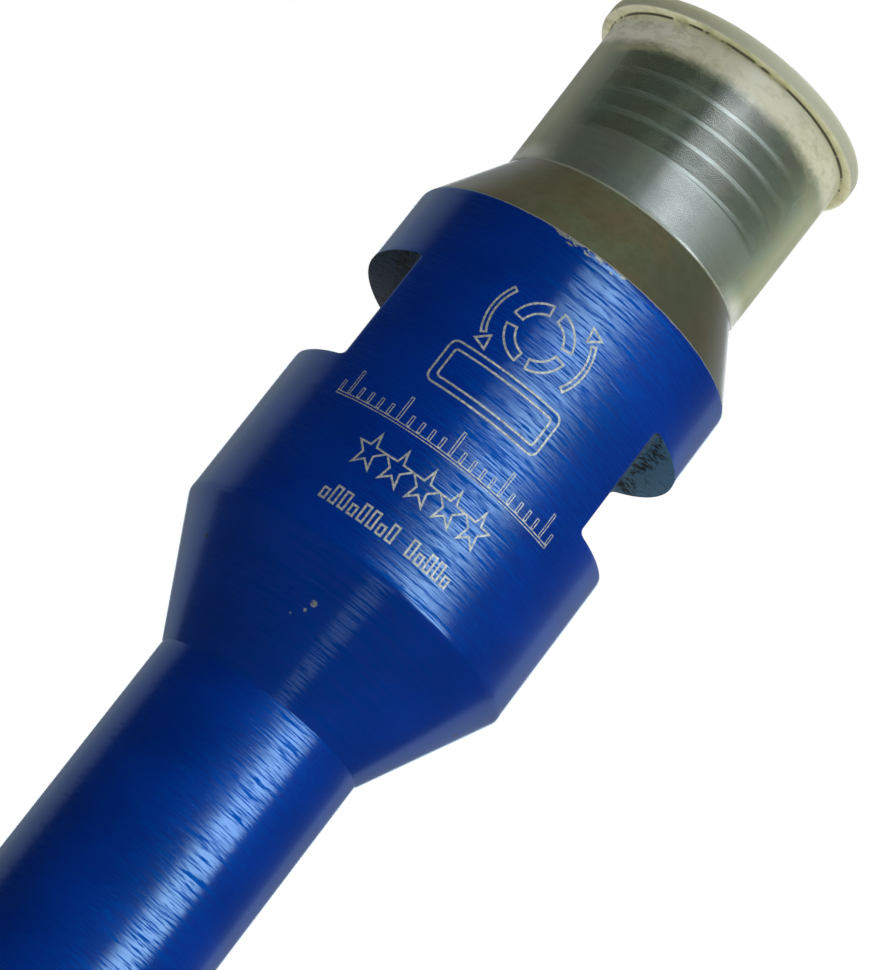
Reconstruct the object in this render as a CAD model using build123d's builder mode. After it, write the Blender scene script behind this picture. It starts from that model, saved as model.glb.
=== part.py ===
from build123d import *
import os
from math import radians, tan

# A diamond core bit for wet drilling, made of a crown of brazed segments, a thin core
# tube, a turned hub with a threaded stub, and a plastic cap over the thread.
# Millimetres. The bit stands on its crown: the origin is on the axis at the cutting
# face, and +Z runs up the axis to the capped end.

# crown
crown_diameter = 20.0  # the hole it drills
segment_thickness = 2.65  # wider than the tube's wall on both sides
segment_height = 10.0
segment_count = 4
water_slot_width = 2.4
tip_bevel = 0.8
segment_edge_radius = 0.3

# core tube
useful_length = 450.0  # cutting face to the foot of the hub's taper
tube_diameter = 18.2
tube_wall = 1.5
socket_wall = 1.3  # where the tube's upper end is bored out for the hub's spigot

# hub, from the tube upwards
spigot_length = 8.0  # the hub's end inside the tube
spigot_gap = 0.05  # brazing gap, on the radius
spigot_end_gap = 0.5
spigot_lead = 0.6
taper_length = 10.6
hub_diameter = 29.2
body_length = 13.2
wrench_slot_length = 10.0
across_flats = 22.0
slot_corner_radius = 0.4
edge_break = 0.15
collar_length = 6.4
cone_half_angle = 30.0  # degrees, from the axis
thread_diameter = 20.0
thread_pitch = 2.0
stub_length = 13.5
water_bore = 8.0
bore_mouth = 0.8

# thread cap, a thin moulding with a closed and flanged end
cap_clearance = 0.15  # over the thread's crests, on the radius
cap_wall = 0.75
cap_draft = 0.75  # degrees, wider towards the closed end
cap_depth = 15.2
cap_end = 1.3
cap_overhang = 0.9
cap_edge_bevel = 0.3

# radii that follow
crown_radius = crown_diameter / 2
tube_radius = tube_diameter / 2
tube_bore_radius = tube_radius - tube_wall
socket_radius = tube_radius - socket_wall
spigot_radius = socket_radius - spigot_gap
hub_radius = hub_diameter / 2
thread_radius = thread_diameter / 2
thread_depth = 0.6134 * thread_pitch  # of a 60 degree metric thread
cap_bore_radius = thread_radius + cap_clearance
shoulder_radius = cap_bore_radius + cap_wall  # the cap's rim is flush with the cone
bore_radius = water_bore / 2

# levels that follow, from the crown up
tube_start = segment_height
taper_start = useful_length
spigot_end = taper_start - spigot_length
socket_floor = spigot_end - spigot_end_gap
body_start = taper_start + taper_length
slot_start = body_start + body_length
collar_start = slot_start + wrench_slot_length
cone_start = collar_start + collar_length
cone_length = (hub_radius - shoulder_radius) / tan(radians(cone_half_angle))
shoulder_level = cone_start + cone_length
stub_end = shoulder_level + stub_length
cap_floor = shoulder_level + cap_depth  # the inner face of its closed end
cap_top = cap_floor + cap_end

os.makedirs("parts", exist_ok=True)

# The crown in plan: a ring cut by parallel-sided water slots.
with BuildSketch() as crown_plan:
    Circle(crown_radius)
    Circle(crown_radius - segment_thickness, mode=Mode.SUBTRACT)
    with PolarLocations(crown_radius, segment_count):
        Rectangle(crown_diameter, water_slot_width, mode=Mode.SUBTRACT)

# Each segment stands on its own piece of that plan, with a roof-shaped cutting end.
for number in range(1, segment_count + 1):
    bearing = (number - 0.5) * 360 / segment_count
    middle = Vector(crown_radius, 0, 0).rotate(Axis.Z, bearing)
    with BuildPart() as segment:
        with BuildSketch():
            add(crown_plan.faces().sort_by_distance(middle)[0])
        extrude(amount=segment_height)
        cutting_face = segment.faces().sort_by(Axis.Z)[0]
        chamfer(cutting_face.edges().filter_by(GeomType.CIRCLE), length=tip_bevel)
        outer_corners = segment.edges().filter_by(Axis.Z).sort_by_distance((0, 0, 0))[-2:]
        fillet(outer_corners, radius=segment_edge_radius)
    segment.part.label = f"segment_{number}"
    export_step(segment.part, f"parts/segment_{number}.step")

# The core tube carries the segments on its lower end. Its upper end is bored out a
# little, as a socket for the hub's spigot.
with BuildPart() as core_tube:
    with BuildSketch(Plane.XY.offset(tube_start)):
        Circle(tube_radius)
        Circle(tube_bore_radius, mode=Mode.SUBTRACT)
    extrude(amount=taper_start - tube_start)
    with BuildSketch(Plane.XY.offset(socket_floor)):
        Circle(socket_radius)
    extrude(amount=taper_start - socket_floor, mode=Mode.SUBTRACT)
core_tube.part.label = "core_tube"
export_step(core_tube.part, "parts/core_tube.step")

# The hub is turned in one piece, spigot, taper, body, cone and threaded stub, with
# the water bore right through it. Its thread is left plain at the crests' diameter.
with BuildPart() as hub:
    with BuildSketch(Plane.XZ):
        with BuildLine():
            Polyline(
                (bore_radius, spigot_end),
                (spigot_radius - spigot_lead, spigot_end),
                (spigot_radius, spigot_end + spigot_lead),
                (spigot_radius, taper_start),
                (tube_radius, taper_start),
                (hub_radius, body_start),
                (hub_radius, cone_start),
                (shoulder_radius, shoulder_level),
                (thread_radius, shoulder_level),
                (thread_radius, stub_end - thread_depth / 2),
                (thread_radius - thread_depth, stub_end),
                (bore_radius + bore_mouth, stub_end),
                (bore_radius, stub_end - bore_mouth),
                close=True,
            )
        make_face()
    revolve(axis=Axis.Z)
    # Two wrench flats are milled across it, which leaves a D-shaped shoulder at each
    # end of each slot. The flats face -X and +X.
    with BuildSketch(Plane.XY.offset(slot_start)):
        Circle(hub_diameter)
        Rectangle(across_flats, 2 * hub_diameter, mode=Mode.SUBTRACT)
    extrude(amount=wrench_slot_length, mode=Mode.SUBTRACT)
    for level in (slot_start, collar_start):
        rims = hub.edges().filter_by(GeomType.CIRCLE).filter_by_position(Axis.Z, level, level)
        chamfer(rims, length=edge_break)
    fillet(hub.edges().filter_by(Axis.Y), radius=slot_corner_radius)
hub.part.label = "hub"
export_step(hub.part, "parts/hub.step")

# The thread cap pushes over the stub until its rim meets the hub's shoulder.
with BuildPart() as thread_cap:
    with BuildSketch(Plane.XZ) as cap_section:
        flare = cap_depth * tan(radians(cap_draft))
        sleeve_radius = shoulder_radius + flare
        with BuildLine():
            Polyline(
                (0, cap_floor),
                (cap_bore_radius + flare, cap_floor),
                (cap_bore_radius, shoulder_level),
                (shoulder_radius, shoulder_level),
                (sleeve_radius, cap_floor),
                (sleeve_radius + cap_overhang, cap_floor),
                (sleeve_radius + cap_overhang, cap_top),
                (0, cap_top),
                close=True,
            )
        make_face()
        flange_corners = cap_section.vertices().sort_by(Axis.X)[-2:]
        chamfer(flange_corners, length=cap_edge_bevel)
    revolve(axis=Axis.Z)
thread_cap.part.label = "thread_cap"
export_step(thread_cap.part, "parts/thread_cap.step")
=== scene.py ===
from math import atan2, cos, degrees, hypot, pi, radians, sin, tan

import bmesh
import bpy
from mathutils import Matrix, Vector


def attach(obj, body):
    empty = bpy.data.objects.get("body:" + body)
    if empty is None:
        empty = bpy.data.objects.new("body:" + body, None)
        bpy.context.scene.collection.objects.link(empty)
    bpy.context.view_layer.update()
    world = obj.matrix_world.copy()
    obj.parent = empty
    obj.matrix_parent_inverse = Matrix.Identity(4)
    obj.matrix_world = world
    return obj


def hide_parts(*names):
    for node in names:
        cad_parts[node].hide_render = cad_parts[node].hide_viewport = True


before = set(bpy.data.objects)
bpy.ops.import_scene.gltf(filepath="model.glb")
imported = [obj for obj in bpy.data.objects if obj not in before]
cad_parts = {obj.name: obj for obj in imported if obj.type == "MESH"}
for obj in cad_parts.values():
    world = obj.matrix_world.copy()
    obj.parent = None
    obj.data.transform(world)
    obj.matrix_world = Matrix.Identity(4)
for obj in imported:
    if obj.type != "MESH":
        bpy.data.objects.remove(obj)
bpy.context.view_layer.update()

mm = 0.001  # sizes are in millimetres where no note says metres, angles in degrees
origin = (0, 0, 0)
upAxis = (0, 0, 1)
print("frame loaded")


class Wire:
    # a socket that can stand in a Python expression
    def __init__(self, tree, socket):
        self.tree = tree
        self.socket = socket

    def calc(self, operation, *others):
        return self.tree.add("Math", {"operation": operation}, dict(enumerate((self, *others))))

    def __add__(self, other):
        return self.calc("ADD", other)

    def __sub__(self, other):
        return self.calc("SUBTRACT", other)

    def __mul__(self, other):
        return self.calc("MULTIPLY", other)

    def __truediv__(self, other):
        return self.calc("DIVIDE", other)

    def __pow__(self, other):
        return self.calc("POWER", other)

    def __neg__(self):
        return self.calc("MULTIPLY", -1.0)

    def __rsub__(self, other):
        return self.tree.add("Math", {"operation": "SUBTRACT"}, {0: other, 1: self})

    def __rtruediv__(self, other):
        return self.tree.add("Math", {"operation": "DIVIDE"}, {0: other, 1: self})

    __radd__ = __add__
    __rmul__ = __mul__


class Finish:
    # one node tree, of a material or of the world
    def __init__(self, owner):
        owner.use_nodes = True
        self.nodes = owner.node_tree.nodes
        self.links = owner.node_tree.links
        self.nodes.clear()

    def add(self, kind, settings=None, sockets=None, out=0):
        node = self.nodes.new("ShaderNode" + kind)
        for name, value in (settings or {}).items():
            if name == "stops":
                self.fillRamp(node.color_ramp, value)
            else:
                setattr(node, name, value)
        for name, value in (sockets or {}).items():
            if isinstance(value, Wire):
                self.links.new(value.socket, node.inputs[name])
            else:
                node.inputs[name].default_value = value
        return Wire(self, node.outputs[out]) if len(node.outputs) else None

    def fillRamp(self, ramp, stops):
        while len(ramp.elements) < len(stops):
            ramp.elements.new(1.0)
        for element, (place, level) in zip(ramp.elements, stops):
            element.position = place
            element.color = level if len(level) == 4 else (*level, 1.0)

    def axes(self, vector):
        return [self.add("SeparateXYZ", None, {0: vector}, out) for out in "XYZ"]

    def millimetres(self):
        place = self.add("TexCoord", out="Object")
        return self.add("VectorMath", {"operation": "SCALE"}, {0: place, "Scale": 1 / mm})

    def bearing(self, x, y):
        # degrees round the axis, from -Y towards +X
        return x.calc("ARCTAN2", -y) * (180 / pi)

    def facing(self):
        # 0 where the surface is seen square on, 1 at the silhouette
        return self.add("LayerWeight", None, {"Blend": 0.5}, "Facing")

    def ray(self, kind):
        return self.add("LightPath", None, None, f"Is {kind} Ray")

    def noise(self, place, stretch, detail=2.0, rough=0.5, warp=0.0):
        # stretch is the scale per mm along each axis
        scaled = self.add("VectorMath", {"operation": "MULTIPLY"}, {0: place, 1: stretch})
        return self.add("TexNoise", None, {"Vector": scaled, "Scale": 1.0, "Detail": detail,
                                           "Roughness": rough, "Distortion": warp}, "Fac")

    def patterns(self, place, look, *names):
        return [self.noise(place, *look[name]) for name in names]

    def step(self, value, low, high, lowOut=0.0, highOut=1.0):
        return self.add("MapRange", {"interpolation_type": "SMOOTHSTEP"},
                        {"Value": value, "From Min": low, "From Max": high,
                         "To Min": lowOut, "To Max": highOut}, "Result")

    def stepFrom(self, value, base, offsets):
        return self.step(value, base + offsets[0], base + offsets[1])

    def mix(self, factor, first, second, how="MIX"):
        return self.add("Mix", {"data_type": "RGBA", "blend_type": how, "clamp_factor": True},
                        {0: factor, 6: first, 7: second}, 2)

    def coat(self, tone, settings, value, mask=1.0):
        # lays a colour over a tone as a value goes through its range; settings are colour, range, share
        above, span, share = settings
        return self.mix(self.step(value, *span) * mask * share, tone, above)

    def bump(self, height, depth, strength):
        sockets = {"Height": height, "Distance": depth * mm, "Strength": strength}
        return self.add("Bump", None, sockets, "Normal")

    def spot(self, place, centre, radius, edge):
        away = self.add("VectorMath", {"operation": "DISTANCE"}, {0: place, 1: centre}, "Value")
        return self.step(away, radius + edge, radius - edge)

    def shader(self, **sockets):
        named = {name.replace("_", " "): value for name, value in sockets.items()}
        return self.add("BsdfPrincipled", None, named, "BSDF")

    def surface(self, **sockets):
        self.add("OutputMaterial", None, {"Surface": self.shader(**sockets)})


def newMaterial(name):
    material = bpy.data.materials.new(name)
    tree = Finish(material)
    return material, tree, tree.millimetres()


def colour(red, green, blue):
    return (red, green, blue, 1.0)


def fromAxis(x, y):
    return (x * x + y * y).calc("SQRT")


guard = 0.45  # from a corner to the ring that holds the shading beside it
# how close counts as touching, in metres
near = {"merged": 1e-7, "same": 1e-6, "ring": 2e-6, "skin": 1e-5, "corner": 2e-5}


def guarded(profile, closed):
    # extra points close to the corners, so that the long runs between them shade straight
    points = []
    following = profile[1:] + profile[:1] if closed else profile[1:] + [None]
    for here, there in zip(profile, following):
        points.append(here)
        length = 0 if there is None else hypot(there[0] - here[0], there[1] - here[1])
        if length > 2.5 * guard:
            for part in (guard / length, 1 - guard / length):
                points.append((here[0] + (there[0] - here[0]) * part, here[1] + (there[1] - here[1]) * part))
    return points


def turnedShape(profile, steps, bevels=(), closed=True):
    # profile points are (radius, height); bevels are (point number, width, segments)
    shape = bmesh.new()
    ring = [shape.verts.new((radius * mm, 0, height * mm)) for radius, height in guarded(profile, closed)]
    runs = list(zip(ring, ring[1:] + ring[:1])) if closed else list(zip(ring, ring[1:]))
    edges = [shape.edges.new(pair) for pair in runs]
    bmesh.ops.spin(shape, geom=ring + edges, cent=origin, axis=upAxis, dvec=origin,
                   angle=2 * pi, steps=steps, use_merge=True, use_duplicate=False)
    bmesh.ops.remove_doubles(shape, verts=shape.verts, dist=near["merged"])
    bmesh.ops.recalc_face_normals(shape, faces=shape.faces)
    for number, width, segments in bevels:
        radius, height = profile[number]
        bevelRing(shape, radius, height, width, segments)
    return shape


def onRing(vert, radius, height):
    around = hypot(vert.co.x, vert.co.y)
    return abs(around - radius * mm) < near["ring"] and abs(vert.co.z - height * mm) < near["ring"]


def bevelRing(shape, radius, height, width, segments):
    rims = [edge for edge in shape.edges if all(onRing(vert, radius, height) for vert in edge.verts)]
    bevelEdges(shape, rims, width, segments)


def bevelEdges(shape, edges, width, segments):
    bmesh.ops.bevel(shape, geom=edges, offset=width * mm, offset_type="OFFSET", segments=segments,
                    profile=0.5, affect="EDGES", material=-1, clamp_overlap=True)


def planeCut(shape, place, normal, clear):
    bmesh.ops.bisect_plane(shape, geom=shape.verts[:] + shape.edges[:] + shape.faces[:],
                           plane_co=[part * mm for part in place], plane_no=normal,
                           clear_outer=clear, clear_inner=False, dist=near["merged"])


def linked(name, data):
    made = bpy.data.objects.new(name, data)
    bpy.context.scene.collection.objects.link(made)
    return made


def meshObject(name, shape, materials=()):
    mesh = bpy.data.meshes.new(name)
    shape.to_mesh(mesh)
    shape.free()
    for material in materials:
        mesh.materials.append(material)
    return linked(name, mesh)


def finishedPiece(name, shape, materials, nodes=(), sharp=32):
    piece = meshObject(name, shape, materials)
    piece.data.polygons.foreach_set("use_smooth", [True] * len(piece.data.polygons))
    piece.data.set_sharp_from_angle(angle=radians(sharp))
    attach(piece, "root")
    if nodes:
        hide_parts(*nodes)
    print("made", name, len(piece.data.polygons), "faces")


def cutAway(shape, others):
    # takes other bmeshes out of one, through throwaway objects
    target = meshObject("throwaway", shape)
    cutters = [meshObject("throwaway", other) for other in others]
    for cutter in cutters:
        modifier = target.modifiers.new("cut", "BOOLEAN")
        modifier.operation = "DIFFERENCE"
        modifier.solver = "EXACT"
        modifier.object = cutter
    graph = bpy.context.evaluated_depsgraph_get()
    mesh = bpy.data.meshes.new_from_object(target.evaluated_get(graph))
    result = bmesh.new()
    result.from_mesh(mesh)
    for made in [target] + cutters:
        bpy.data.objects.remove(made)
    bpy.data.meshes.remove(mesh)
    return result


# In these looks a pattern is its scale per mm along each axis, its detail and its roughness.
# A coat is its colour, the range of the value that it follows, and its share.
# A relief is its depth and its strength.
lacquerLook = {
    "deep": colour(0.0, 0.0165, 0.165),
    "body": (colour(0.0, 0.022, 0.215), (0.3, 0.7), 1.0),
    "pale": (colour(0.0, 0.036, 0.27), (0.60, 0.74), 0.35),
    "sheen": colour(0.0, 0.55, 1.0),  # tint of the soft gloss
    "glint": colour(0.56, 0.94, 1.0),  # tint of the polished streaks
    "steel": colour(0.46, 0.50, 0.47),
    "greySteel": colour(0.24, 0.23, 0.2),
    "scorched": (colour(0.25, 0.17, 0.085), (0.40, 0.62), 0.75),
    "nick": colour(0.004, 0.008, 0.016),
    "lines": ((0.11, 0.11, 7.2), 2.0, 0.6),  # the tool marks round the axis
    "fineLines": ((0.75, 0.75, 15.0), 1.0, 0.5),
    "drift": ((0.11, 0.11, 0.16), 2.0, 0.5),
    "flakes": ((1.1, 1.1, 3.2), 3.0, 0.6),
    "scorch": ((0.5, 0.5, 0.9), 2.0, 0.6),
    "ragged": ((4.5, 4.5, 4.5), 2.0, 0.6),
    "lineShare": 0.55, "fineShare": 0.45,
    "streaks": (0.46, 0.51), "sideStreaks": 0.8, "side": (0.34, 0.56),
    "flaked": (0.42, 0.66), "broken": (0.40, 0.48),
    "metallic": 0.3, "glintMetallic": 0.2, "bareMetallic": 0.5,
    "rough": 0.36, "lineRough": 0.2, "glintRough": 0.15,
    "softRelief": (0.03, 0.4), "glintRelief": (0.03, 0.3), "bareDepth": 0.5,
}

wear = {
    # the flaked upper rim of the collar: its height, the bearings of its worst stretch with
    # their blurs, and how far down the lacquer is gone there and all round
    "rim": 490.2, "from": -15, "to": 8, "fromBlur": (-3, 3), "toBlur": (4, -4),
    "worst": 0.52, "least": 0.06, "rimBlur": (-0.01, 0.05),
    # centre and radius of the chips and the dark nicks
    "chips": (((-1.24, -12.47, 456.63), 0.24), ((-1.48, -12.09, 455.95), 0.13),
              ((-2.23, -11.6, 455.24), 0.06)),
    "nicks": (((-10.89, -6.76, 457.16), 0.2), ((12.67, -2.56, 457.38), 0.22),
              ((-13.64, -5.2, 461.23), 0.16)),
    "chipBlur": 0.06, "nickBlur": 0.05,
    # the scorched band beside the brazed segments
    "scorchReach": 0.5, "scorchBlur": (0.5, 0.3),
}


def wornRim(tree, x, y, z, flakes):
    turn = tree.bearing(x, y)
    stretch = tree.stepFrom(turn, wear["from"], wear["fromBlur"])
    stretch = stretch * tree.stepFrom(turn, wear["to"], wear["toBlur"])
    reach = tree.step(flakes, *lacquerLook["flaked"]) * (stretch * wear["worst"] + wear["least"])
    return tree.step(z + reach - wear["rim"], *wear["rimBlur"])


def lacquer(name, worn=False, bareBelow=None):
    look = lacquerLook
    material, tree, place = newMaterial(name)
    x, y, z = tree.axes(place)
    lines, fine, drift, flakes = tree.patterns(place, look, "lines", "fineLines", "drift", "flakes")
    grain = lines * look["lineShare"] + fine * look["fineShare"]
    side = tree.step(tree.facing(), *look["side"])  # towards the silhouette the tool marks fade out
    shade = tree.coat(look["deep"], look["body"], drift)
    shade = tree.coat(shade, look["pale"], grain)
    steel = tree.mix(flakes, look["steel"], look["greySteel"])
    patches = []  # where the steel shows
    if worn:
        patches.append(wornRim(tree, x, y, z, flakes))
        ragged = tree.step(tree.noise(place, *look["ragged"]), *look["broken"])
        for centre, radius in wear["chips"]:
            patches.append(tree.spot(place, centre, radius, wear["chipBlur"]) * ragged)
    if bareBelow:
        burnt = tree.noise(place, *look["scorch"])
        patches.append(tree.stepFrom(z + burnt * wear["scorchReach"], bareBelow, wear["scorchBlur"]))
        steel = tree.coat(steel, look["scorched"], burnt)
    bare = patches[0]
    for patch in patches[1:]:
        bare = bare.calc("MAXIMUM", patch)
    tone = tree.mix(bare, shade, steel)
    for centre, radius in wear["nicks"] if worn else ():
        tone = tree.mix(tree.spot(place, centre, radius, wear["nickBlur"]), tone, look["nick"])
    height = grain * (1 - side) - bare * look["bareDepth"]
    streaks = tree.step(grain, *look["streaks"])
    streaks = (streaks + (look["sideStreaks"] - streaks) * side) * (1 - bare)
    soft = tree.shader(Base_Color=tone, Metallic=look["metallic"] + bare * look["bareMetallic"],
                       Roughness=look["rough"] + lines * look["lineRough"],
                       Specular_IOR_Level=0.6, Specular_Tint=look["sheen"],
                       Normal=tree.bump(height, *look["softRelief"]))
    glint = tree.shader(Base_Color=tone, Metallic=look["glintMetallic"], Roughness=look["glintRough"],
                        Specular_IOR_Level=1.0, Specular_Tint=look["glint"],
                        Normal=tree.bump(height, *look["glintRelief"]))
    both = tree.add("MixShader", None, {0: streaks, 1: soft, 2: glint})
    tree.add("OutputMaterial", None, {"Surface": both})
    return material


milledLook = {
    "low": colour(0.004, 0.020, 0.046), "high": colour(0.014, 0.042, 0.088),
    "lit": (colour(0.075, 0.22, 0.36), (-6, 6), 0.7),  # painted light: the face under the collar is painted paler towards +X
    "flat": colour(0.16, 0.17, 0.18), "pit": colour(0.007, 0.011, 0.014),
    "swirl": ((1.6, 5.0, 5.0), 3.0, 0.65),
    "passes": ((1.0, 0.25, 5.5), 2.0, 0.6),
    "pits": ((1.5, 1.2, 1.2), 3.0, 0.6, 0.8),
    "torn": (0.50, 0.60), "underCollar": (-0.3, -0.05),
    "inwards": (13.2, 12.0), "outerTears": 0.25,  # across, and the share of the tears further out
    "metallic": 0.35, "rough": 0.5, "swirlRough": 0.22, "specular": 0.1,
    "relief": (0.14, 0.8), "swirlHeight": 0.2, "passHeight": 0.3,
}


def milledSteel():
    # the two wrench slots: dark, dull, torn by the cutter
    look = milledLook
    material, tree, place = newMaterial("milledSteel")
    x, y, z = tree.axes(place)
    swirl, passes, pits = tree.patterns(place, look, "swirl", "passes", "pits")
    under = tree.stepFrom(z, hub["collarStart"], look["underCollar"])
    inner = tree.step(x.calc("ABSOLUTE"), *look["inwards"])
    torn = tree.step(pits, *look["torn"]) * (look["outerTears"] + inner * (1 - look["outerTears"])) * under
    tone = tree.mix(swirl, look["low"], look["high"])
    # painted light: the slot face under the collar turns paler towards +X
    tone = tree.coat(tone, look["lit"], x, under)
    tone = tree.mix(passes * (1 - under), tone, look["flat"])
    tone = tree.mix(torn, tone, look["pit"])
    height = swirl * look["swirlHeight"] + passes * look["passHeight"] - torn
    tree.surface(Base_Color=tone, Metallic=look["metallic"], Specular_IOR_Level=look["specular"],
                 Roughness=look["rough"] + swirl * look["swirlRough"],
                 Normal=tree.bump(height, *look["relief"]))
    return material


dullLook = {
    "brown": colour(0.094, 0.080, 0.040),
    "green": (colour(0.082, 0.1, 0.056), (0.35, 0.65), 1.0),
    "olive": (colour(0.058, 0.062, 0.028), (0.40, 0.62), 0.45),
    "speckled": (colour(0.05, 0.05, 0.035), (0.60, 0.72), 0.25),
    "paintedShade": (colour(0.032, 0.033, 0.02), (2, 10), 0.6), "shadeDrift": 5,
    "turned": ((0.3, 0.3, 7.0), 2.0, 0.6),
    "stain": ((0.22, 0.22, 0.3), 3.0, 0.55),
    "speck": ((2.4, 2.4, 2.4), 2.0, 0.6),
    "mottle": ((0.8, 0.8, 0.8), 3.0, 0.65),
    "metallic": 0.35, "rough": 0.48, "turnedRough": 0.12,
    "film": (0.5, 0.85), "filmIOR": 1.9, "filmRough": 0.3,
    "relief": (0.02, 0.6), "speckHeight": 0.3,
}


def dullSteel():
    # the bare cone and shoulder, under an olive film of dried oil
    look = dullLook
    material, tree, place = newMaterial("dullSteel")
    x, y, z = tree.axes(place)
    turned, stain, speck, mottle = tree.patterns(place, look, "turned", "stain", "speck", "mottle")
    tone = tree.coat(look["brown"], look["green"], stain)
    tone = tree.coat(tone, look["olive"], mottle)
    tone = tree.coat(tone, look["speckled"], speck)
    # painted shade: darker towards +X, its border blurred by the stain
    tone = tree.coat(tone, look["paintedShade"], x + stain * look["shadeDrift"])
    tree.surface(Base_Color=tone, Metallic=look["metallic"],
                 Roughness=look["rough"] + turned * look["turnedRough"],
                 Coat_Weight=tree.step(tree.facing(), *look["film"]), Coat_IOR=look["filmIOR"],
                 Coat_Roughness=look["filmRough"],
                 Normal=tree.bump(turned + speck * look["speckHeight"], *look["relief"]))
    return material


threadLook = {
    "root": colour(0.014, 0.023, 0.016), "crest": colour(0.31, 0.36, 0.35),
    "plain": colour(0.27, 0.29, 0.30), "oil": colour(0.025, 0.031, 0.026),
    "turned": ((0.3, 0.3, 5.0), 1.0, 0.6), "oilShare": 0.4,
    "plainEnd": (0.1, -0.4), "crestRange": (9.6, 9.9),
    "sides": (4.5, 8.5), "sideLoss": 0.75,  # across, where the painted highlight on the crests fades out
    "metallic": 0.8, "rough": 0.26, "turnedRough": 0.15, "plainRough": 0.1,
    "relief": (0.02, 0.08),
}


def threadSteel():
    # oiled, grey-green, the crests a little paler all round and painted brighter in front as a highlight
    look = threadLook
    material, tree, place = newMaterial("threadSteel")
    x, y, z = tree.axes(place)
    turned = tree.noise(place, *look["turned"])
    plain = tree.stepFrom(z, hub["shankEnd"], look["plainEnd"])
    # painted highlight: the crests are drawn bright in front, with only a quarter of it left at the sides
    highlitFront = 1 - tree.step(x.calc("ABSOLUTE"), *look["sides"]) * look["sideLoss"]
    crest = tree.step(fromAxis(x, y), *look["crestRange"]) * highlitFront.calc("MAXIMUM", plain)
    bright = tree.mix(plain, look["crest"], look["plain"])
    tone = tree.mix(crest, look["root"], bright)
    tone = tree.mix(turned * look["oilShare"], tone, look["oil"])
    tree.surface(Base_Color=tone, Metallic=look["metallic"],
                 Roughness=look["rough"] + turned * look["turnedRough"] + plain * look["plainRough"],
                 Normal=tree.bump(turned, *look["relief"]))
    return material


hub = {
    "tubeRadius": 9.1, "radius": 14.594, "shoulderRadius": 10.9, "shankRadius": 9.95,
    "boreRadius": 4.0, "spigotRadius": 7.75, "spigotChamfer": 0.6, "footGap": 0.01,
    "spigotEnd": 442.0, "taperStart": 450.0, "bodyStart": 460.6, "slotStart": 473.8,
    "collarStart": 483.8, "coneStart": 490.2, "shoulder": 496.609, "shankEnd": 501.4,
    "acrossFlats": 22.0, "slotCorner": 0.4, "rimBreak": 0.15, "flatBreak": 0.09,
    "bodyBreak": 0.25, "coneBreak": 0.1, "cutterReach": 4, "cutterLength": 40,
    "steps": 256, "ringGap": 0.35,
    # how far the materials reach past the heights and the flats that part them
    "slotReach": 0.2, "flatReach": 0.1, "coneReach": 0.05, "skin": 0.003,
}


def wrenchCutter(side):
    # a block beside the hub, its two inner corners rounded by the milling cutter
    block = bmesh.new()
    inner = hub["acrossFlats"] / 2
    outer = hub["radius"] + hub["cutterReach"]
    length = hub["collarStart"] - hub["slotStart"]
    bmesh.ops.create_cube(block, size=1.0)
    bmesh.ops.scale(block, verts=block.verts,
                    vec=((outer - inner) * mm, hub["cutterLength"] * mm, length * mm))
    middle = Vector((side * (inner + outer) / 2, 0, hub["slotStart"] + length / 2)) * mm
    bmesh.ops.translate(block, verts=block.verts, vec=middle)
    corners = [edge for edge in block.edges
               if all(abs(abs(vert.co.x) - inner * mm) < near["same"] for vert in edge.verts)
               and abs(edge.verts[0].co.z - edge.verts[1].co.z) < near["same"]]
    bevelEdges(block, corners, hub["slotCorner"], 5)
    return block


def slotRims(shape, levels):
    # the curved edges that the cutters leave where the slots meet the body and the collar
    radius, flat = hub["radius"] * mm, hub["acrossFlats"] / 2 * mm

    def onSkin(vert):
        return abs(hypot(vert.co.x, vert.co.y) - radius) < near["skin"]

    def atLevel(edge):
        return any(all(abs(vert.co.z - level) < near["same"] for vert in edge.verts) for level in levels)

    return [edge for edge in shape.edges if all(onSkin(vert) for vert in edge.verts) and atLevel(edge)
            and abs((edge.verts[0].co.x + edge.verts[1].co.x) / 2) > flat - near["same"]]


def flatCorners(shape):
    # the upright corners between the flats and the round of the hub
    flat = hub["acrossFlats"] / 2 * mm
    return [edge for edge in shape.edges if len(edge.link_faces) == 2
            and all(abs(abs(vert.co.x) - flat) < near["corner"] for vert in edge.verts)
            and edge.verts[0].co.z != edge.verts[1].co.z
            and edge.calc_face_angle(0) > radians(25)]


def dressHub(shape, levels):
    # materials in the order of the hub's list: lacquer, milled, dull, oiled
    skin = (hub["radius"] - hub["skin"]) * mm
    flat = (hub["acrossFlats"] / 2 - hub["flatReach"]) * mm
    reach = hub["slotReach"] * mm
    foot = hub["taperStart"] * mm + near["same"]
    bore = hub["boreRadius"] * mm + near["skin"]
    for face in shape.faces:
        middle = face.calc_center_median()
        around = hypot(middle.x, middle.y)
        inSlot = levels[0] - reach < middle.z < levels[1] + reach and abs(middle.x) > flat
        if middle.z > hub["shoulder"] * mm + near["skin"]:
            face.material_index = 3
        elif middle.z > (hub["coneStart"] + hub["coneReach"]) * mm:
            face.material_index = 2
        elif inSlot and around < skin:
            face.material_index = 1
        elif middle.z < foot or around < bore:
            face.material_index = 2


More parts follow.
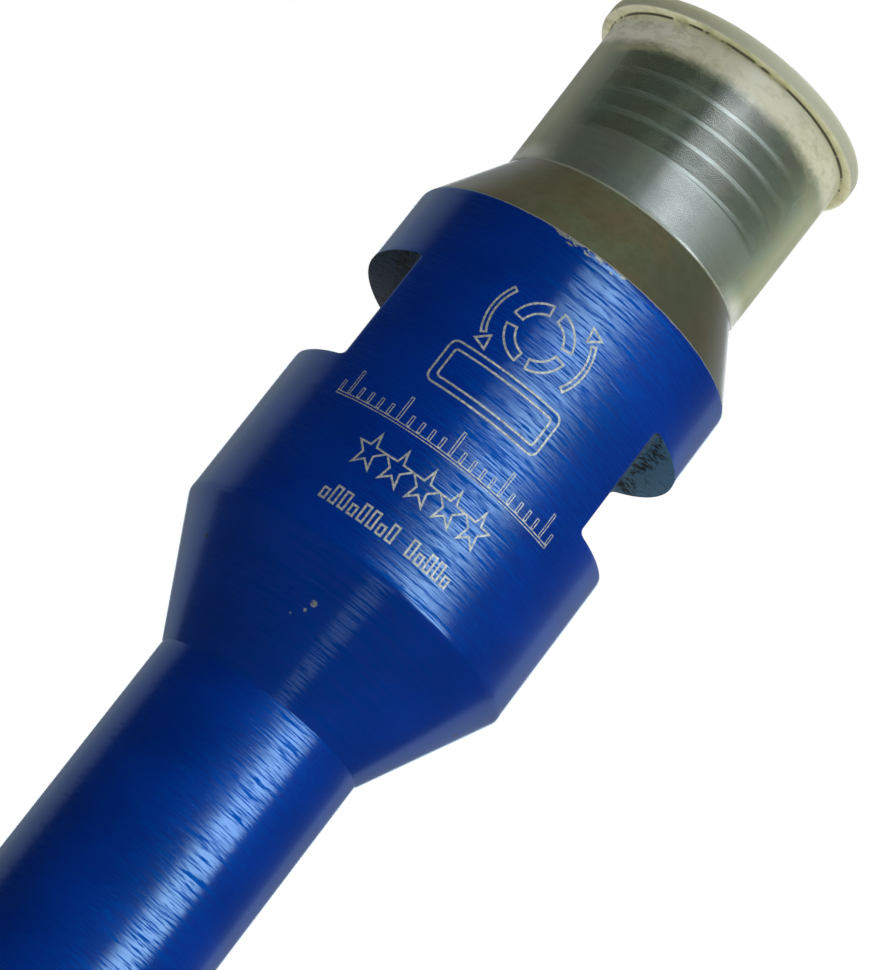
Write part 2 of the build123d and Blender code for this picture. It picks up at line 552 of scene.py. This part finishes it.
def buildHub(blue, milled, dull, oiled):
    profile = [
        (hub["boreRadius"], hub["spigotEnd"]),
        (hub["spigotRadius"] - hub["spigotChamfer"], hub["spigotEnd"]),
        (hub["spigotRadius"], hub["spigotEnd"] + hub["spigotChamfer"]),
        (hub["spigotRadius"], hub["taperStart"]),
        (hub["tubeRadius"] - hub["footGap"], hub["taperStart"]),
        (hub["radius"], hub["bodyStart"]),
        (hub["radius"], hub["slotStart"] - hub["ringGap"]),
        (hub["radius"], hub["collarStart"] + hub["ringGap"]),
        (hub["radius"], hub["coneStart"]),
        (hub["shoulderRadius"], hub["shoulder"]),
        (hub["shankRadius"], hub["shoulder"]),
        (hub["shankRadius"], hub["shankEnd"]),
        (hub["boreRadius"], hub["shankEnd"]),
    ]
    shape = turnedShape(profile, hub["steps"], [(5, hub["bodyBreak"], 3), (8, hub["coneBreak"], 2)])
    shape = cutAway(shape, [wrenchCutter(side) for side in (-1, 1)])
    levels = (hub["slotStart"] * mm, hub["collarStart"] * mm)
    bevelEdges(shape, slotRims(shape, levels), hub["rimBreak"], 2)
    bevelEdges(shape, flatCorners(shape), hub["flatBreak"], 2)
    dressHub(shape, levels)
    finishedPiece("hub_turned", shape, [blue, milled, dull, oiled], ["hub"])


thread = {
    "crest": 9.93, "root": 8.75, "pitch": 2.0, "crestWidth": 0.32, "rootWidth": 0.34,
    "start": 500.9, "end": 510.109, "chamfer": 1.1, "mouth": 4.8, "mouthDepth": 0.8, "bore": 4.0,
    "stepsPerTurn": 120, "turns": 7, "boreSteps": 96, "overrun": 0.2,
}


def buildThread(steel):
    pitch = thread["pitch"]
    rise = (pitch - thread["crestWidth"] - thread["rootWidth"]) / 2
    foot = thread["start"] - pitch
    section = [(thread["root"], foot), (thread["root"], foot + thread["rootWidth"]),
               (thread["crest"], foot + thread["rootWidth"] + rise),
               (thread["crest"], foot + thread["rootWidth"] + rise + thread["crestWidth"]),
               (thread["root"], foot + pitch)]
    shape = bmesh.new()
    line = [shape.verts.new((radius * mm, 0, height * mm)) for radius, height in section]
    edges = [shape.edges.new(pair) for pair in zip(line, line[1:])]
    steps = thread["stepsPerTurn"] * thread["turns"]
    bmesh.ops.spin(shape, geom=line + edges, cent=origin, axis=upAxis,
                   dvec=(0, 0, pitch * mm / thread["stepsPerTurn"]),
                   angle=2 * pi * thread["turns"], steps=steps, use_merge=False, use_duplicate=False)
    bmesh.ops.remove_doubles(shape, verts=shape.verts, dist=near["ring"])
    for height, outward in ((thread["start"], -1), (thread["end"], 1)):
        planeCut(shape, (0, 0, height), (0, 0, outward), True)
        rim = [edge for edge in shape.edges if edge.is_boundary
               and all(abs(vert.co.z - height * mm) < near["same"] for vert in edge.verts)]
        bmesh.ops.holes_fill(shape, edges=rim, sides=0)
    bmesh.ops.recalc_face_normals(shape, faces=shape.faces)
    # the lead: nothing stands outside a 45 degree cone at the end
    for vert in shape.verts:
        around = hypot(vert.co.x, vert.co.y)
        limit = thread["crest"] * mm - max(0.0, vert.co.z - (thread["end"] - thread["chamfer"]) * mm)
        if around > limit:
            vert.co.x *= limit / around
            vert.co.y *= limit / around
    over = thread["overrun"]
    bore = [(0, thread["start"] - 1), (thread["bore"], thread["start"] - 1),
            (thread["bore"], thread["end"] - thread["mouthDepth"]),
            (thread["mouth"] + over, thread["end"] + over), (0, thread["end"] + over)]
    shape = cutAway(shape, [turnedShape(bore, thread["boreSteps"])])
    finishedPiece("thread_stub", shape, [steel], ["hub"], 40)


tube = {
    "radius": 9.1, "bore": 7.6, "socket": 7.8, "start": 10.0, "end": 450.0, "socketFloor": 441.5,
    "bareBand": 11.6, "steps": 192, "skin": 0.3,
}


def buildTube(blue, dull):
    profile = [(tube["bore"], tube["start"]), (tube["radius"], tube["start"]),
               (tube["radius"], tube["end"]), (tube["socket"], tube["end"]),
               (tube["socket"], tube["socketFloor"]), (tube["bore"], tube["socketFloor"])]
    shape = turnedShape(profile, tube["steps"])
    for face in shape.faces:
        middle = face.calc_center_median()
        if hypot(middle.x, middle.y) < (tube["radius"] - tube["skin"]) * mm:
            face.material_index = 1
    finishedPiece("core_tube_drawn", shape, [blue, dull], ["core_tube"])


gritLook = {
    "dark": colour(0.07, 0.065, 0.055), "metal": colour(0.23, 0.205, 0.155),
    "chip": colour(0.30, 0.28, 0.2), "stone": colour(0.46, 0.44, 0.24),
    "wander": ((1.0, 1.0, 1.0), 3.0, 0.6), "wobble": 0.5, "wobbleScale": 3.0,
    # cells per mm, how their distance is measured, and where a stone or chip ends
    "stones": (2.1, "MANHATTAN", (0.36, 0.29)), "chips": (4.6, "CHEBYCHEV", (0.20, 0.14)),
    "stonyParts": (0.40, 0.5), "chipShare": 0.5, "stoneShare": 0.8,
    "metallic": 0.6, "stoneMetallic": -0.5, "rough": 0.58, "stoneRough": -0.32, "wanderRough": 0.1,
    "relief": (0.16, 0.8), "wanderHeight": 0.5, "chipHeight": 0.35,
}


def segmentGrit():
    # stones and chips in a sintered metal; the segments keep their own solids
    look = gritLook
    material, tree, place = newMaterial("segmentGrit")
    wander = tree.noise(place, *look["wander"])
    sockets = {"Vector": place, "Scale": look["wobbleScale"], "Detail": 1.0}
    spread = tree.add("TexNoise", None, sockets, "Color")
    wobble = tree.add("VectorMath", {"operation": "SCALE"}, {0: spread, "Scale": look["wobble"]})
    bent = tree.add("VectorMath", {"operation": "ADD"}, {0: place, 1: wobble})

    def cells(scale, form, border):
        away = tree.add("TexVoronoi", {"feature": "F1", "distance": form}, {"Vector": bent, "Scale": scale},
                        "Distance")
        return tree.step(away, *border)

    stones = cells(*look["stones"]) * tree.step(wander, *look["stonyParts"])
    chips = cells(*look["chips"])
    tone = tree.mix(wander, look["dark"], look["metal"])
    tone = tree.mix(chips * look["chipShare"], tone, look["chip"])
    tone = tree.mix(stones * look["stoneShare"], tone, look["stone"])
    height = wander * look["wanderHeight"] + stones + chips * look["chipHeight"]
    tree.surface(Base_Color=tone, Metallic=look["metallic"] + stones * look["stoneMetallic"],
                 Roughness=look["rough"] + stones * look["stoneRough"] + wander * look["wanderRough"],
                 Normal=tree.bump(height, *look["relief"]))
    return material


cap = {
    "bore": 10.15, "rim": 10.9, "draft": 0.75, "start": 496.609, "floor": 511.809, "top": 513.109,
    "overhang": 0.9, "steps": 192, "crease": 0.22,
    "boreCorner": 0.4, "innerRim": 0.1, "outerRim": 0.14, "flangeFoot": 0.12, "flangeTop": 0.3,
}


def flare(height):
    # how much the sleeve has widened at a height
    return (height - cap["start"]) * tan(radians(cap["draft"]))


capLook = {
    "sleeve": colour(0.20, 0.27, 0.195),
    "aged": (colour(0.23, 0.235, 0.14), (0.4, 0.65), 0.6),
    "edge": (colour(0.27, 0.27, 0.14), (0.4, 0.75), 0.7),
    "milk": colour(0.50, 0.49, 0.34),
    "palerToMinusX": (colour(0.80, 0.78, 0.56), (-3.2, -6.5), 0.85),  # the milky band is paler towards -X
    "stained": (colour(0.33, 0.31, 0.18), (0.46, 0.62), 0.45),
    "pale": (colour(0.58, 0.60, 0.48), (0.3, 0.75), 1.0),
    "grimeAndShade": (colour(0.05, 0.042, 0.025), (0.6, 0.75), 0.25), "creaseShare": 0.9,
    "rim": colour(0.36, 0.37, 0.28), "rimShare": 0.7,
    "flange": colour(0.25, 0.255, 0.195),
    "cloud": ((0.35, 0.35, 0.35), 3.0, 0.6),
    "smear": ((0.8, 0.8, 1.6), 3.0, 0.6),
    "spots": ((2.6, 2.6, 2.6), 2.0, 0.6),
    "patches": ((0.26, 0.26, 0.2), 4.0, 0.7),
    "swell": ((0.3, 0.3, 0.3), 0.0), "relief": (0.12, 0.3),
    # heights from the cap's rim
    "rimBand": (0.26, 0.14), "lowBand": (2.2, 0.3),
    # heights from the underside of the flange, and how far the patterns shift the milky band
    "closedEnd": (-0.02, 0.12), "milkyBand": (-2.35, -1.15),
    "cloudShift": 0.7, "smearShift": 0.6, "spotShift": 0.5,
    # the broken dark line of painted shade in the corner under the flange: heights, then radii from the
    # sleeve
    "creaseFoot": (-0.2, -0.12), "creaseHead": (0.05, -0.01),
    "creaseInner": (-0.04, 0.02), "creaseOuter": (0.2, 0.1), "broken": (0.42, 0.48),
    # bearings of a paler flow line in the moulding
    "flowFrom": (-17.5, -16), "flowTo": (-8, -9.5),
    # how much of the cap is solid to the eye
    "veil": 0.13, "cloudVeil": 0.08, "flowVeil": 0.07, "milkVeil": 0.64, "mostVeil": 0.92,
    "edgePower": 3.0, "edgeVeil": 2.3, "lowVeil": 1.0, "outerWall": (10.4, 10.6), "innerShare": 0.6,
    "closedVeil": 0.96, "rimVeil": 0.75,
    # the polish of the outside
    "flangePolish": 0.1, "edgeFade": (0.4, 0.62), "edgePolish": 0.05, "milkPolish": 0.06,
    "cloudFade": (0.25, 0.7, 0.45, 1.0), "polishIOR": 2.6, "polishRough": 0.2,
    "rough": 0.42, "flangeRough": 0.2, "specular": 0.6, "scatter": 0.9, "scatterReach": (5.0, 5.0, 4.0),
}


def capCrease(tree, place, radius, z):
    look = capLook
    edge = cap["rim"] + flare(cap["floor"])
    crease = tree.step(tree.noise(place, *look["patches"]), *look["broken"])
    for value, base, border in ((z, cap["floor"], "creaseFoot"), (z, cap["floor"], "creaseHead"),
                                (radius, edge, "creaseInner"), (radius, edge, "creaseOuter")):
        crease = crease * tree.stepFrom(value, base, look[border])
    return crease


def milkyPlastic():
    # clear to milky soft plastic, mottled and yellowed with age
    look = capLook
    material, tree, place = newMaterial("milkyPlastic")
    x, y, z = tree.axes(place)
    radius = fromAxis(x, y)
    facing = tree.facing()
    cloud, smear, spots, swell = tree.patterns(place, look, "cloud", "smear", "spots", "swell")
    closedEnd = tree.stepFrom(z, cap["floor"], look["closedEnd"])
    rimBand = tree.stepFrom(z, cap["start"], look["rimBand"])
    low = tree.stepFrom(z, cap["start"], look["lowBand"])
    crease = capCrease(tree, place, radius, z) * look["creaseShare"]
    turn = tree.bearing(x, y)
    flow = tree.step(turn, *look["flowFrom"]) * tree.step(turn, *look["flowTo"])
    shifted = z + cloud * look["cloudShift"] + smear * look["smearShift"] + spots * look["spotShift"]
    thick = tree.stepFrom(shifted, cap["floor"], look["milkyBand"])

    tone = tree.coat(look["sleeve"], look["aged"], cloud)
    tone = tree.coat(tone, look["edge"], facing)
    tone = tree.mix(thick, tone, look["milk"])
    tone = tree.coat(tone, look["palerToMinusX"], x, thick)
    tone = tree.coat(tone, look["stained"], smear, thick)
    tone = tree.coat(tone, look["pale"], facing, low)
    tone = tree.mix(rimBand * look["rimShare"], tone, look["rim"])
    tone = tree.coat(tone, look["grimeAndShade"], smear)
    tone = tree.mix(closedEnd, tone, look["flange"])
    # painted shade: a broken dark line in the crease under the flange
    tone = tree.mix(crease, tone, look["grimeAndShade"][0])

    outer = tree.step(radius - flare(z), *look["outerWall"])
    veil = look["veil"] + cloud * look["cloudVeil"] + flow * look["flowVeil"] + thick * look["milkVeil"]
    silhouette = facing ** look["edgePower"] * (look["edgeVeil"] + low * look["lowVeil"])
    veil = veil + silhouette * (look["innerShare"] + outer * (1 - look["innerShare"]))
    veil = veil.calc("MINIMUM", look["mostVeil"])
    ends = closedEnd.calc("MAXIMUM", rimBand * look["rimVeil"])
    # the painted shade in the crease is made solid
    alpha = (veil + (look["closedVeil"] - veil) * ends).calc("MAXIMUM", crease)

    polish = 1 - closedEnd * (1 - look["flangePolish"])
    polish = polish * (1 - tree.step(facing, *look["edgeFade"]) * (1 - look["edgePolish"]))
    polish = polish * (1 - thick * (1 - look["milkPolish"])) * tree.step(cloud, *look["cloudFade"])
    tree.surface(Base_Color=tone, Roughness=look["rough"] + closedEnd * look["flangeRough"],
                 Specular_IOR_Level=look["specular"], Subsurface_Weight=look["scatter"],
                 Subsurface_Radius=look["scatterReach"], Subsurface_Scale=mm, Alpha=alpha,
                 Coat_Weight=polish, Coat_IOR=look["polishIOR"], Coat_Roughness=look["polishRough"],
                 Normal=tree.bump(swell, *look["relief"]))
    return material


def buildCap(plastic):
    widened = flare(cap["floor"])
    edge = cap["rim"] + widened
    flange = edge + cap["overhang"]
    profile = [(0, cap["floor"]), (cap["bore"] + widened, cap["floor"]), (cap["bore"], cap["start"]),
               (cap["rim"], cap["start"]), (edge, cap["floor"]), (flange, cap["floor"]),
               (flange, cap["top"]), (0, cap["top"])]
    bevels = [(1, cap["boreCorner"], 4), (2, cap["innerRim"], 2), (3, cap["outerRim"], 3),
              (4, cap["crease"], 4), (5, cap["flangeFoot"], 3), (6, cap["flangeTop"], 5)]
    shape = turnedShape(profile, cap["steps"], bevels, closed=False)
    finishedPiece("thread_cap_moulded", shape, [plastic], ["thread_cap"], 50)


marks = {
    "line": 0.17, "lift": 0.003, "depth": 0.03, "halfWidth": 10.5, "stride": 0.3,
    "arcSteps": 14, "cornerSteps": 5,
    "crown": {"height": 482.4, "outer": 2.75, "inner": 1.75, "gap": 9, "parts": 4},
    "arrows": {"radius": 3.9, "band": 0.55, "sweep": 62, "head": 0.85, "lead": 9},
    "frame": {"height": 476.83, "wide": 10.3, "tall": 3.95, "corner": 0.7, "inset": 0.62},
    # in the scale and the stars, line is a share of the line above
    "scale": {"foot": 470.72, "spacing": 0.94, "count": 23, "short": 0.95, "long": 2.15, "longEvery": 5,
              "wide": 0.3, "line": 0.45},
    "stars": {"height": 467.88, "spacing": 2.42, "radius": 1.86, "waist": 0.40, "narrow": 0.76,
              "count": 5, "line": 0.9},
    # two groups of bars: where each starts, and how many it has
    "bars": {"foot": 463.0, "tall": 1.55, "wide": 0.62, "spacing": 0.85, "groups": ((-6.0, 8), (1.75, 5)),
             "lowEvery": 3, "low": 0.62},
}


def keepOutline(shape, faces, width):
    # the faces become a line of that width along their border
    bmesh.ops.inset_region(shape, faces=faces, thickness=width * mm, use_even_offset=True, use_boundary=True)
    bmesh.ops.delete(shape, geom=faces, context="FACES_ONLY")


def facesOf(verts):
    return list({face for vert in verts for face in vert.link_faces})


def addPlate(shape, wide, tall, place, outline, corner=0):
    made = bmesh.ops.create_grid(shape, x_segments=1, y_segments=1, size=0.5)["verts"]
    bmesh.ops.scale(shape, verts=made, vec=(wide * mm, tall * mm, 1))
    bmesh.ops.translate(shape, verts=made, vec=(place[0] * mm, place[1] * mm, 0))
    if corner:
        made = bmesh.ops.bevel(shape, geom=made, offset=corner * mm, offset_type="OFFSET",
                               segments=marks["cornerSteps"], profile=0.5, affect="VERTICES",
                               material=-1)["verts"]
    keepOutline(shape, facesOf(made), outline)


def addSector(shape, inner, outer, start, sweep):
    ends = [shape.verts.new((cos(radians(start)) * radius * mm, sin(radians(start)) * radius * mm, 0))
            for radius in (inner, outer)]
    edge = shape.edges.new(ends)
    before = set(shape.faces)
    bmesh.ops.spin(shape, geom=ends + [edge], cent=origin, axis=upAxis, dvec=origin,
                   angle=radians(sweep), steps=marks["arcSteps"], use_merge=False, use_duplicate=False)
    faces = [face for face in shape.faces if face not in before]
    verts = list({vert for face in faces for vert in face.verts})
    bmesh.ops.translate(shape, verts=verts, vec=(0, marks["crown"]["height"] * mm, 0))
    keepOutline(shape, faces, marks["line"])


def addCrown(shape):
    # the cutting end seen from below: a ring of sectors
    look = marks["crown"]
    part = 360 / look["parts"]
    for number in range(look["parts"]):
        addSector(shape, look["inner"], look["outer"], number * part + look["gap"], part - 2 * look["gap"])


def addArrow(shape, side):
    look = marks["arrows"]
    start = (0 if side > 0 else 180) - look["sweep"] / 2
    addSector(shape, look["radius"], look["radius"] + look["band"], start, look["sweep"])
    tip = radians(start + look["sweep"] + look["lead"])
    middle = look["radius"] + look["band"] / 2
    place = (cos(tip) * middle * mm, (sin(tip) * middle + marks["crown"]["height"]) * mm, 0)
    head = bmesh.ops.create_circle(shape, cap_ends=True, segments=3, radius=look["head"] * mm)["verts"]
    bmesh.ops.rotate(shape, verts=head, cent=origin, matrix=Matrix.Rotation(tip, 3, "Z"))
    bmesh.ops.translate(shape, verts=head, vec=place)
    keepOutline(shape, facesOf(head), marks["line"])


def addFrame(shape):
    look = marks["frame"]
    place = (0, look["height"])
    for inset, corner in ((0, look["corner"]), (2 * look["inset"], look["corner"] / 2)):
        addPlate(shape, look["wide"] - inset, look["tall"] - inset, place, marks["line"], corner)


def addScale(shape):
    look = marks["scale"]
    half = (look["count"] - 1) / 2
    thin = marks["line"] * look["line"]
    for number in range(look["count"]):
        tall = look["long"] if number % look["longEvery"] == 1 else look["short"]
        place = ((number - half) * look["spacing"], look["foot"] + tall / 2 + look["wide"])
        addPlate(shape, look["wide"], tall, place, thin)
    length = 2 * half * look["spacing"] + look["wide"]
    addPlate(shape, length, look["wide"], (0, look["foot"] + look["wide"] / 2), thin)


def addStar(shape, across):
    look = marks["stars"]
    points = bmesh.ops.create_circle(shape, cap_ends=True, segments=10, radius=look["radius"] * mm)["verts"]
    # every second point of the ten goes inwards; the others stand 72 degrees apart from the top
    inner = [vert for vert in points if round(degrees(atan2(vert.co.y, vert.co.x)) - 90) % 72 > 10]
    bmesh.ops.scale(shape, verts=inner, vec=(look["waist"], look["waist"], 1))
    bmesh.ops.scale(shape, verts=points, vec=(look["narrow"], 1, 1))
    bmesh.ops.translate(shape, verts=points, vec=(across * mm, look["height"] * mm, 0))
    keepOutline(shape, facesOf(points), marks["line"] * look["line"])


def addBars(shape):
    look = marks["bars"]
    places = [start + number * look["spacing"] for start, count in look["groups"] for number in range(count)]
    for number, across in enumerate(places):
        tall = look["tall"] * (1 if number % look["lowEvery"] else look["low"])
        place = (across + look["wide"] / 2, look["foot"] + tall / 2)
        addPlate(shape, look["wide"], tall, place, marks["line"])


def wrapRound(shape):
    # cut upright at short steps, then bend the flat drawing round the hub
    reach = int(marks["halfWidth"] / marks["stride"])
    for number in range(-reach, reach):
        planeCut(shape, ((number + 0.5) * marks["stride"], 0, 0), (1, 0, 0), False)
    bmesh.ops.triangulate(shape, faces=[face for face in shape.faces if len(face.verts) > 4])
    top = (hub["radius"] + marks["lift"]) * mm
    for vert in shape.verts:
        turn = vert.co.x / (hub["radius"] * mm)
        vert.co = (top * sin(turn), -top * cos(turn), vert.co.y)
    bmesh.ops.recalc_face_normals(shape, faces=shape.faces)

    def pointsInwards(face):
        middle = face.calc_center_median()
        return face.normal.dot(Vector((middle.x, middle.y, 0))) < 0

    bmesh.ops.reverse_faces(shape, faces=[face for face in shape.faces if pointsInwards(face)])
    bmesh.ops.solidify(shape, geom=shape.faces[:], thickness=marks["depth"] * mm)


def buildMarks(pale):
    # plain marks on the front of the hub, drawn flat in X and Y before they are bent round it
    shape = bmesh.new()
    addCrown(shape)
    for side in (-1, 1):
        addArrow(shape, side)
    addFrame(shape)
    addScale(shape)
    stars = marks["stars"]
    for number in range(stars["count"]):
        addStar(shape, (number - (stars["count"] - 1) / 2) * stars["spacing"])
    addBars(shape)
    wrapRound(shape)
    finishedPiece("front_marks", shape, [pale], (), 40)


frostLook = {
    "dark": colour(0.17, 0.19, 0.19),
    "light": (colour(0.46, 0.46, 0.40), (0.35, 0.65), 1.0),
    "cool": (colour(0.25, 0.27, 0.28), (0.55, 0.7), 0.4),
    "burn": ((5.0, 5.0, 5.0), 3.0, 0.7),
    "drift": ((0.5, 0.5, 0.5), 2.0, 0.5),
    "metallic": 0.45, "rough": 0.5, "relief": (0.02, 0.6),
}


def laserFrost():
    look = frostLook
    material, tree, place = newMaterial("laserFrost")
    burn, drift = tree.patterns(place, look, "burn", "drift")
    tone = tree.coat(look["dark"], look["light"], burn)
    tone = tree.coat(tone, look["cool"], drift)
    tree.surface(Base_Color=tone, Metallic=look["metallic"], Roughness=look["rough"],
                 Normal=tree.bump(burn, *look["relief"]))
    return material


milled = milledSteel()
dull = dullSteel()
oiled = threadSteel()
buildHub(lacquer("hubLacquer", worn=True), milled, dull, oiled)
buildThread(oiled)
buildTube(lacquer("tubeLacquer", bareBelow=tube["bareBand"]), dull)
buildMarks(laserFrost())
buildCap(milkyPlastic())
grit = segmentGrit()
for nodeName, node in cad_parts.items():
    if nodeName.startswith("segment"):
        node.data.materials.clear()
        node.data.materials.append(grit)
print("materials set")


floorLook = {
    "half": 1600, "cells": 8, "tone": (0.86, 0.865, 0.89), "rough": 0.9, "specular": 0.1,
    # what polished faces see of it: dim in front, but for a pale card, and plainer behind
    "mirrored": 0.06, "cardFrom": (3, 6), "cardTo": (22, 19), "card": 0.9,
    "behind": (128, 142), "behindShare": 0.3,
    # distances from the axis where it turns into the white of the background
    "fade": (250, 750),
}


def paleFloor():
    look = floorLook
    material, tree, place = newMaterial("paleFloor")
    x, y, z = tree.axes(place)
    bearing = tree.bearing(x, y)
    card = tree.step(bearing, *look["cardFrom"]) * tree.step(bearing, *look["cardTo"]) * look["card"]
    card = card.calc("MAXIMUM", tree.step(bearing.calc("ABSOLUTE"), *look["behind"]) * look["behindShare"])
    dim = 1 - tree.ray("Glossy") * (1 - look["mirrored"]) * (1 - card)
    tone = tree.add("VectorMath", {"operation": "SCALE"}, {0: look["tone"], "Scale": dim})
    away = tree.step(fromAxis(x, y), *look["fade"]) * tree.ray("Camera")
    pale = tree.shader(Base_Color=tone, Roughness=look["rough"], Specular_IOR_Level=look["specular"])
    white = tree.add("Emission", None, {"Color": colour(1, 1, 1)})
    shown = tree.add("MixShader", None, {0: away, 1: pale, 2: white})
    tree.add("OutputMaterial", None, {"Surface": shown})
    return material


def buildFloor():
    shape = bmesh.new()
    bmesh.ops.create_grid(shape, x_segments=floorLook["cells"], y_segments=floorLook["cells"],
                          size=floorLook["half"] * mm)
    floor = meshObject("floor", shape, [paleFloor()])
    print("floor laid")


studio = {
    # bearings in degrees from -Y towards +X, with the level seen there
    "ring": ((-180, 0.72), (-125, 0.7), (-110, 0.3), (-52, 0.25), (-25, 0.36), (0, 0.48), (45, 0.6),
             (130, 0.66), (137, 0.7), (180, 0.64)),
    "overhead": (0.34, 0.31, 0.22, 1.0), "ceiling": (36, 52), "ceilingShare": 0.9,
    # what polished faces see of the room, past dark flags
    "mirrored": ((-180, 0.12), (-160, 0.28), (-142, 0.48), (-118, 0.44), (-108, 0.3), (-100, 0.02),
                 (-60, 0.005), (0, 0.005), (45, 0.05), (95, 0.05), (112, 0.12), (124, 0.26), (132, 0.62),
                 (150, 0.42), (180, 0.12)),
    "cool": (0.94, 1.0, 1.04, 1.0),
    # the window leans: the bearing of its middle at each height, and its blurred sides from there
    "windowMiddle": ((-10, 50), (10, 49), (14, 38), (17, 28), (19.5, 22), (21, 10), (26, 6), (34, 4)),
    "windowRise": (-27, -8), "windowFall": (17, 7), "windowFoot": (-8, -4), "windowHead": (34, 30),
    "window": 6.8,
    # its upper part is cut off on the left, and wider and paler on the right
    "upper": (19.8, 20.9), "upperLeft": -8.0, "upperBlur": (-1.5, 1.5), "upperFall": (23, 7),
    "upperPale": 0.3,
    # a second window behind
    "backWindow": (163, 168), "backFoot": (-9, -5), "backHead": (48, 40), "backLevel": 2.2,
    # watts, then metres
    "lampPower": 3.2, "lampSize": 0.7, "lampPlace": (0.55, -0.35, 0.75), "lampAim": (0.4, -0.15, 0),
}


def windowLevel(tree, bearing, height):
    middles = [((level + 90) / 180, (middle / 90,) * 3) for level, middle in studio["windowMiddle"]]
    middle = tree.add("ValToRGB", {"stops": middles}, {"Fac": (height + 90) / 180}, "Color") * 90
    away = bearing - middle
    upper = tree.step(height, *studio["upper"])
    right = tree.stepFrom(bearing, studio["upperLeft"], studio["upperBlur"])
    bright = tree.step(away, *studio["windowRise"]) * tree.step(away, *studio["windowFall"])
    bright = bright * (1 - upper * (1 - right))
    pale = upper * right * tree.step(away, *studio["upperFall"]) * studio["upperPale"]
    tall = tree.step(height, *studio["windowFoot"]) * tree.step(height, *studio["windowHead"])
    behind = tree.step(bearing.calc("ABSOLUTE"), *studio["backWindow"])
    behind = behind * tree.step(height, *studio["backHead"]) * tree.step(height, *studio["backFoot"])
    return bright.calc("MAXIMUM", pale) * tall * studio["window"] + behind * studio["backLevel"]


def buildWorld():
    world = bpy.data.worlds.new("studio")
    bpy.context.scene.world = world
    tree = Finish(world)
    x, y, z = tree.axes(tree.add("TexCoord", out="Generated"))
    bearing = tree.bearing(x, y)
    height = z.calc("ARCSINE") * (180 / pi)
    rings = []
    for name in ("ring", "mirrored"):
        stops = [((degree + 180) / 360, (level, level, level)) for degree, level in studio[name]]
        rings.append(tree.add("ValToRGB", {"stops": stops}, {"Fac": (bearing + 180) / 360}, "Color"))
    cool = studio["cool"]
    ring = tree.mix(tree.ray("Glossy"), rings[0], tree.mix(1.0, rings[1], cool, "MULTIPLY"))
    room = tree.mix(tree.step(height, *studio["ceiling"]) * studio["ceilingShare"], ring, studio["overhead"])
    level = windowLevel(tree, bearing, height)
    light = tree.add("CombineColor", None, {part: level * cool[part] for part in range(3)})
    lit = tree.add("Background", None, {"Color": tree.mix(1.0, room, light, "ADD")})
    plain = tree.add("Background", None, {"Color": colour(1, 1, 1)})
    straight = tree.ray("Camera").calc("MAXIMUM", tree.ray("Transmission"))
    seen = tree.add("MixShader", None, {0: straight, 1: lit, 2: plain})
    tree.add("OutputWorld", None, {"Surface": seen})
    print("world lit")


def addLamp():
    light = bpy.data.lights.new("overheadLamp", "AREA")
    light.shape = "DISK"
    light.size = studio["lampSize"]
    light.energy = studio["lampPower"]
    lamp = linked("overheadLamp", light)
    lamp.location = studio["lampPlace"]
    lamp.rotation_euler = (Vector(studio["lampAim"]) - lamp.location).to_track_quat("-Z", "Y").to_euler()
    lamp.visible_camera = False
    lamp.visible_glossy = False


view = {
    # places and clipping in metres
    "place": (0.010136, -0.265612, 0.398236), "aim": (-0.000061, -0.0000025, 0.4726707),
    "roll": 37.661, "lens": 133.6, "sensor": 36.0, "near": 0.01, "far": 20.0,
}


def addCamera():
    lens = bpy.data.cameras.new("camera")
    lens.lens = view["lens"]
    lens.sensor_width = view["sensor"]
    lens.sensor_fit = "AUTO"
    lens.clip_start = view["near"]
    lens.clip_end = view["far"]
    camera = linked("camera", lens)
    place = Vector(view["place"])
    turn = (Vector(view["aim"]) - place).to_track_quat("-Z", "Y").to_matrix().to_4x4()
    camera.matrix_world = Matrix.Translation(place) @ turn @ Matrix.Rotation(radians(view["roll"]), 4, "Z")
    bpy.context.scene.camera = camera


buildFloor()
buildWorld()
addLamp()
addCamera()
bpy.context.scene.view_settings.view_transform = "Standard"

print("scene ready")
